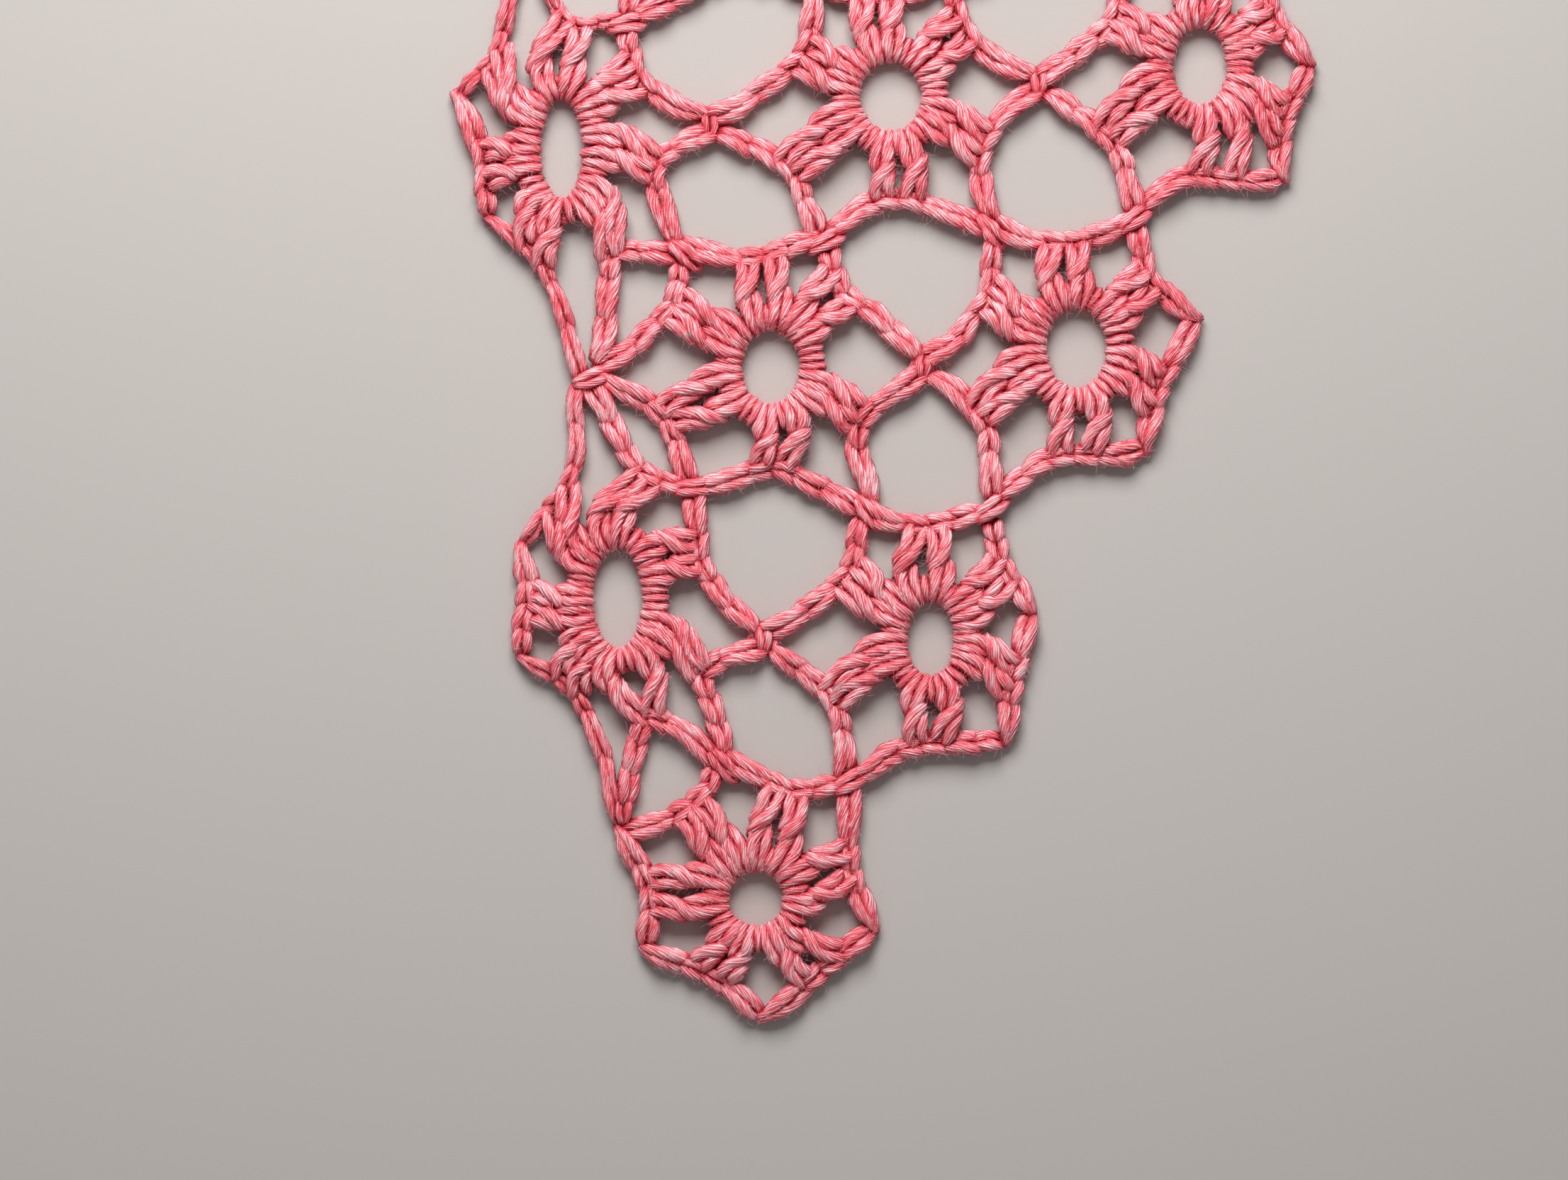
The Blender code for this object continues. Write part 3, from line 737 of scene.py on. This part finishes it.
def chain_stitches(yarn, path, gone, marks, height, narrow, roll, pinched=()):
    """The yarn's points for chain stitches along a flat path, one from each mark to the next."""
    heading = np.gradient(path, axis=0)
    heading /= np.linalg.norm(heading, axis=1)[:, None]
    length = gone[-1]

    def at(distance):
        beyond = distance - min(max(distance, 0.0), length)
        point = np.array([np.interp(distance, gone, column) for column in path.T])
        way = np.array([np.interp(distance, gone, column) for column in heading.T])
        way /= np.linalg.norm(way)
        return point + way * beyond, way

    points = []
    for begin, end in zip(marks, marks[1:]):
        turn = roll(begin)
        fat = min(1.0, 0.66 + 0.34 * (end - begin) / CHAIN_PITCH)
        for share, sideways, rise, radius in CHAIN_STITCH:
            distance = begin + share * (end - begin)
            point, way = at(distance)
            left = np.array([-way[1], way[0]])
            near = min([abs(distance - corner) for corner in pinched], default=9.0)
            pinch = 1 - 0.4 * math.exp(-((near / 1.6) ** 2))
            across = sideways * narrow * pinch
            turned = across * math.cos(turn) - rise * math.sin(turn)
            raised = across * math.sin(turn) * 0.7 + rise * math.cos(turn)
            place = np.append(point + left * turned, height + raised)
            place = place + yarn.random.normal(0, STITCH_SHAKE, 3)
            fullness = radius * fat * narrow * (0.5 + 0.5 * pinch)
            points.append(np.append(place, fullness * yarn.random.uniform(0.94, 1.06)))
    return points


def even_marks(low, high, pitch):
    """Stitch ends from low up to high, not counting high, about a pitch apart."""
    count = max(int(round((high - low) / pitch)), 1)
    return [low + (high - low) * step / count for step in range(count)]


def run_marks(path, gone, top, pitch):
    """Where one run's stitches end: two short ones over the petal's top, longer ones beside."""
    middle = gone[np.argmin(np.linalg.norm(path - top, axis=1))]
    stops = [0.0, middle - TOP_STITCH, middle, middle + TOP_STITCH, gone[-1]]
    marks = []
    for begin, end in zip(stops, stops[1:]):
        marks += even_marks(begin, end, pitch)
    return marks + [gone[-1]]


def make_chain(flower, seed):
    """The outer chain: from corner to corner, and over each pair of posts on the way."""
    yarn = Yarn(seed)
    swing = yarn.random.uniform(0, math.tau)

    def roll(distance):
        return 0.5 * math.sin(distance * 0.12 + swing)

    points = []
    for number, (run, top) in enumerate(zip(flower.runs, flower.tops)):
        path, gone = smooth_run(run, ROUTE_STEP)
        after = flower.runs[(number + 1) % len(flower.runs)]
        before = flower.runs[number - 1]
        pinched = []
        if np.allclose(before[-1], run[0]):
            pinched.append(0.0)
        if np.allclose(after[0], run[-1]):
            pinched.append(gone[-1])
        width, pitch = (TAUT_WIDTH, TAUT_PITCH) if number in flower.taut else (1.0, CHAIN_PITCH)
        marks = run_marks(path, gone, top, pitch)
        marks[-1] += -CORNER_TUCK if gone[-1] in pinched else JOIN_REACH
        points += chain_stitches(yarn, path, gone, marks, CHAIN_HEIGHT, width, roll, pinched)
    yarn.strand(points)
    return yarn


def make_ring(flower, seed):
    """The foundation ring: a small closed chain that the petals' stitches wrap."""
    yarn = Yarn(seed)
    route = [flower.ring_point(math.tau * turn / 16, RING_WRAP)[0] for turn in range(17)]
    path, gone = smooth_run(route, ROUTE_STEP)
    marks = even_marks(0.0, gone[-1], CHAIN_PITCH) + [gone[-1]]
    points = chain_stitches(yarn, path, gone, marks, RING_HEIGHT, RING_NARROW, lambda _: 0.0)
    yarn.strand(points)
    return yarn


def post_point(base, normal, top, out, share):
    """A point of a post's curved middle line, with the direction that the post runs there."""
    reach = np.linalg.norm(top - base)
    bend = base + normal * reach * 0.4
    along = share + out / reach
    if along < 0:
        return base + normal * out, normal
    point = base * (1 - along) ** 2 + bend * 2 * along * (1 - along) + top * along**2
    way = (bend - base) * (1 - along) + (top - bend) * along
    return point, way / np.linalg.norm(way)


def double_crochet(yarn, base, normal, top):
    points = []
    for out, share, sideways, rise, radius in DOUBLE_CROCHET:
        point, way = post_point(base, normal, top, out, share)
        right = np.array([way[1], -way[0]])
        place = np.append(point + right * sideways, RING_HEIGHT + rise)
        place = place + yarn.random.normal(0, POST_SHAKE, 3)
        points.append(np.append(place, radius * yarn.random.uniform(0.94, 1.06)))
    yarn.strand(points)


def cover_ring(yarn, flower):
    """Turns of yarn round the ring wherever two neighbouring posts leave it bare."""
    angles = sorted(flower.ring_angle(foot) % math.tau for foot, _ in flower.posts)
    for begin, end in zip(angles, angles[1:] + [angles[0] + math.tau]):
        low, high = (flower.ring_point(angle, RING_WRAP)[0] for angle in (begin, end))
        bare = np.linalg.norm(high - low) - POST_COVER
        count = max(int(round(bare / TURN_COVER)), 0)
        for turn in range(count):
            gone = POST_COVER / 2 + bare * (turn + 0.5) / count
            angle = begin + (end - begin) * gone / (bare + POST_COVER)
            base, normal = flower.ring_point(angle, RING_WRAP)
            points = []
            for out, rise, radius in RING_TURN:
                place = np.append(base + normal * out, RING_HEIGHT + rise)
                place = place + yarn.random.normal(0, STITCH_SHAKE, 3)
                points.append(np.append(place, radius))
            yarn.strand(points)


def make_petals(flower, seed):
    """The petals: pairs of double-crochet stitches from the ring to the outer chain."""
    yarn = Yarn(seed)
    for foot, top in flower.posts:
        base, normal = flower.ring_point(flower.ring_angle(foot), RING_WRAP)
        double_crochet(yarn, base, normal, flower.reach_chain(top))
    cover_ring(yarn, flower)
    return yarn


def make_knot(name, seed):
    """A slip stitch where corners meet: along the chain that passes, or a short tie across two."""
    yarn = Yarn(seed)
    tie = KNOT_TURNS[name] == 90
    length, narrow, height = (3.0, 0.75, CHAIN_HEIGHT) if tie else (4.0, 0.82, CHAIN_HEIGHT + 0.45)
    turn = math.radians(KNOT_TURNS[name])
    way = np.array([math.cos(turn), math.sin(turn)])
    place = middle_of(name)
    route = [place - way * length * 0.55, place, place + way * length * 0.45]
    path, gone = smooth_run(route, ROUTE_STEP)
    yarn.strand(
        chain_stitches(yarn, path, gone, [0.0, gone[-1]], height, narrow, lambda _: 0.0)
    )
    return yarn


def loose_roots(yarns, crowd, random):
    """Where fibres leave the strands, the way along the strand there, and the way out of it."""
    roots, ways, outs = [], [], []
    for yarn in yarns:
        for path, along, side, up, radius in yarn.paths:
            count = int(len(path) * YARN_STEP * FUZZ_PER_MM)
            pick = random.integers(1, len(path) - 1, count)
            angle = random.uniform(0, math.tau, count)[:, None]
            out = side[pick] * np.cos(angle) + up[pick] * np.sin(angle)
            probes = path[pick] + out * (radius[pick] + FUZZ_LOOK)[:, None]
            free = np.array([crowd.find(probe)[2] for probe in probes]) > FUZZ_CLEAR
            kept = (out[:, 2] > -0.35) & (path[pick, 2] > CHAIN_HEIGHT - 0.4) & free
            pick, out = pick[kept], out[kept]
            count = len(pick)
            roots.append(path[pick] + out * (radius[pick] * 0.8)[:, None])
            ways.append(along[pick] * random.choice([-1.0, 1.0], count)[:, None])
            outs.append(out)
    return np.vstack(roots), np.vstack(ways), np.vstack(outs)


def fibre_spines(root, way, out, random):
    """The middle line of each fibre, curling its own way from its root and back to the yarn."""
    count = len(root)
    heading = out * random.uniform(0.5, 1.3, (count, 1)) + way * random.uniform(0.3, 1.2, (count, 1))
    heading += random.normal(0, 0.3, (count, 3))
    heading /= np.linalg.norm(heading, axis=1)[:, None]
    bend = random.normal(0, 0.55, (count, 3)) - out * random.uniform(0.1, 0.8, (count, 1))
    step = 0.18 + 0.38 * random.power(0.6, (count, 1))
    joints = [root]
    for _ in range(FUZZ_JOINTS):
        heading = heading + bend * 0.7 + random.normal(0, 0.3, (count, 3))
        heading /= np.linalg.norm(heading, axis=1)[:, None]
        joints.append(joints[-1] + heading * step)
    spine = np.stack(joints, axis=1)
    spine[:, :, 2] = np.maximum(spine[:, :, 2], FUZZ_REST)
    return spine


def make_fuzz(name, yarns, crowd, seed, material, slot):
    """Loose fibres that stand off the yarn, as fine three-sided hairs."""
    random = np.random.default_rng(seed)
    spine = fibre_spines(*loose_roots(yarns, crowd, random), random)
    along = np.gradient(spine, axis=1)
    along /= np.maximum(np.linalg.norm(along, axis=2), 1e-6)[:, :, None]
    side = np.cross(along, (0.31, 0.52, 0.79))
    side /= np.maximum(np.linalg.norm(side, axis=2), 1e-6)[:, :, None]
    up = np.cross(along, side)
    rows = FUZZ_JOINTS + 1
    taper = np.linspace(1.0, FUZZ_TAPER, rows)[None, :, None, None] * FUZZ_RADIUS
    angle = np.arange(FUZZ_SIDES) * math.tau / FUZZ_SIDES
    ring = spine[:, :, None, :] + taper * (
        side[:, :, None, :] * np.cos(angle)[None, None, :, None]
        + up[:, :, None, :] * np.sin(angle)[None, None, :, None]
    )
    first = np.arange(len(spine))[:, None] * rows * FUZZ_SIDES
    quads = tube_quads(first[:, :, None], rows, FUZZ_SIDES)[2].reshape(-1, 4)
    caps = np.vstack([first + (2, 1, 0), first + (rows - 1) * FUZZ_SIDES + (0, 1, 2)])
    mesh = new_mesh(name, ring.reshape(-1, 3), [quads, caps])
    mesh.update(calc_edges=True)
    mesh.shade_smooth()
    show(name, mesh, material, slot)


def crowd_of(yarns):
    """The middle lines of all the strands, for finding the nearest one to a place."""
    paths = np.vstack([path for yarn in yarns for path, *_ in yarn.paths])
    crowd = KDTree(len(paths))
    for number, point in enumerate(paths):
        crowd.insert(point, number)
    crowd.balance()
    return crowd


def make_lace():
    # deep is the yarn's darkest coral and the colour of painted shade between strands and in ply
    # grooves; light is its palest tone and the painted highlight on ply ridges.
    deep, middle, light = (0.34, 0.003, 0.014), (0.94, 0.112, 0.160), (1.0, 0.68, 0.73)
    looks = {
        part: yarn_material(part + "_yarn", deep, middle, light)
        for part in ("ring", "petal", "chain", "knot")
    }
    fuzz = plain_material("loose_fibres", (0.92, 0.42, 0.44), 0.6, 0.3)
    first = next(iter(MOTIFS))
    shift = middle_of(first + "_ring") - np.array(MOTIFS[first]["centre"])
    motifs = {}
    for number, (name, design) in enumerate(MOTIFS.items()):
        flower = Flower(name, design, shift)
        motifs[name] = [
            make(flower, number * 10 + place)
            for place, make in enumerate((make_ring, make_petals, make_chain))
        ]
    knots = {name: make_knot(name, 500 + number) for number, name in enumerate(KNOT_TURNS)}
    crowd = crowd_of([yarn for parts in motifs.values() for yarn in parts] + list(knots.values()))
    for number, (name, (ring, petals, chain)) in enumerate(motifs.items()):
        show(name + "_ring_yarn", ring.mesh(name + "_ring_yarn", crowd), looks["ring"],
             "ring_yarn", name + "_ring")
        show(name + "_petal_yarn", petals.mesh(name + "_petal_yarn", crowd), looks["petal"],
             "petal_yarn", name + "_petals")
        show(name + "_chain_yarn", chain.mesh(name + "_chain_yarn", crowd), looks["chain"],
             "chain_yarn", name + "_chain")
        make_fuzz(
            name + "_fibres", (ring, petals, chain), crowd, number * 10 + 5, fuzz, "chain_yarn"
        )
    for name, knot in knots.items():
        show(name + "_yarn", knot.mesh(name + "_yarn", crowd), looks["knot"], "knot_yarn", name)


def make_table():
    """A plain pale table top under the lace."""
    bpy.ops.object.select_all(action="DESELECT")
    bpy.ops.mesh.primitive_plane_add(size=3.0, location=(0, 0, 0))
    table = bpy.context.active_object
    table.name = "table"
    table.data.materials.append(plain_material("pale_table", (0.527, 0.499, 0.482), 0.9))


def make_light(name, place, target, size, power, colour):
    data = bpy.data.lights.new(name, "AREA")
    data.shape = "SQUARE"
    data.size = size
    data.energy = power
    data.color = colour
    light = bpy.data.objects.new(name, data)
    light.location = place
    light.rotation_euler = (Vector(target) - Vector(place)).to_track_quat("-Z", "Y").to_euler()
    bpy.context.scene.collection.objects.link(light)


def make_studio():
    """A soft window-like light from beyond the lace's wide end, and a pale sky all round."""
    make_light("window", (-0.06, 0.32, 0.34), (-0.02, -0.02, 0), 0.28, 2.98, (1.0, 0.98, 0.96))
    make_light("front_fill", (0.3, -0.8, 0.9), (0, 0, 0), 1.0, 0.6, (1.0, 0.97, 0.95))
    world = bpy.data.worlds.new("pale_sky")
    world.use_nodes = True
    background = world.node_tree.nodes["Background"]
    background.inputs["Color"].default_value = (1.0, 0.98, 0.97, 1.0)
    background.inputs["Strength"].default_value = 0.20
    bpy.context.scene.world = world
    bpy.context.scene.view_settings.view_transform = "Standard"


def make_camera():
    """Straight above, with the tip near the lower edge of the view."""
    lens, sensor, view_width = 100.0, 36.0, 221.2 * MM
    data = bpy.data.cameras.new("camera")
    data.sensor_fit = "HORIZONTAL"
    data.sensor_width = sensor
    data.lens = lens
    camera = bpy.data.objects.new("camera", data)
    tip = middle_of("tip_ring") - np.array(MOTIFS["tip"]["centre"])
    middle = (tip + (3.1, 61.25)) * MM
    camera.location = (middle[0], middle[1], view_width * lens / sensor)
    bpy.context.scene.collection.objects.link(camera)
    bpy.context.scene.camera = camera


make_camera()
make_lace()
make_table()
make_studio()
